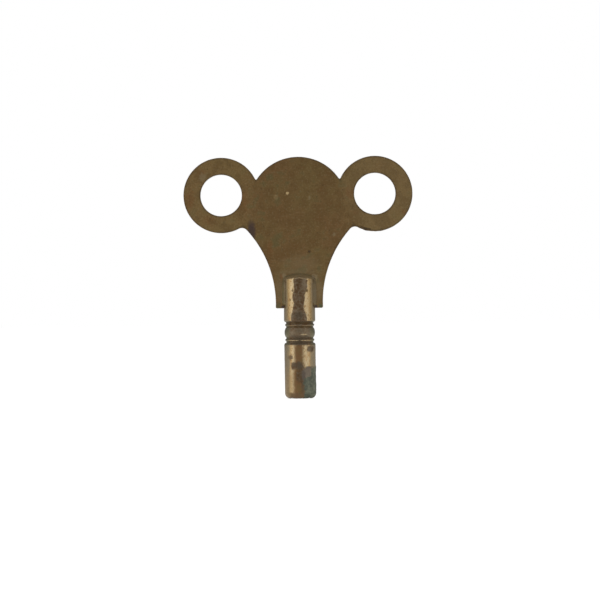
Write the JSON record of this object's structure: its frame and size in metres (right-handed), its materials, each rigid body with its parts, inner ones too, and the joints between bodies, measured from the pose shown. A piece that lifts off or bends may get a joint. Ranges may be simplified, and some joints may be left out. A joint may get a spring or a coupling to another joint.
{
  "type": "clock winding key",
  "caption": "Winding key for a clock: a flat wing with finger rings and a dome, soldered into a slotted turned barrel with a beaded collar and a square socket.",
  "frame": {"origin": "on the barrel's axis, at the mouth of the square socket", "axes": "+Z along the barrel from the socket's mouth to the wing, X across the wing from ring to ring, Y through the wing's thickness, with the pictured face towards -Y"},
  "size_m": [0.052, 0.0072, 0.0548],
  "materials": {
    "stamped_brass": "stamped brass sheet, evenly tarnished to a dull olive brown",
    "turned_brass": "turned brass, rubbed bright in bands between brown tarnish, with verdigris near the socket",
    "soft_solder": "dull grey tin-lead solder under the same tarnish as the wing"
  },
  "bodies": {
    "root": {"wing_plate": "stamped_brass", "barrel": "turned_brass", "front_solder_seam": "soft_solder", "back_solder_seam": "soft_solder"}
  },
  "joints": []
}
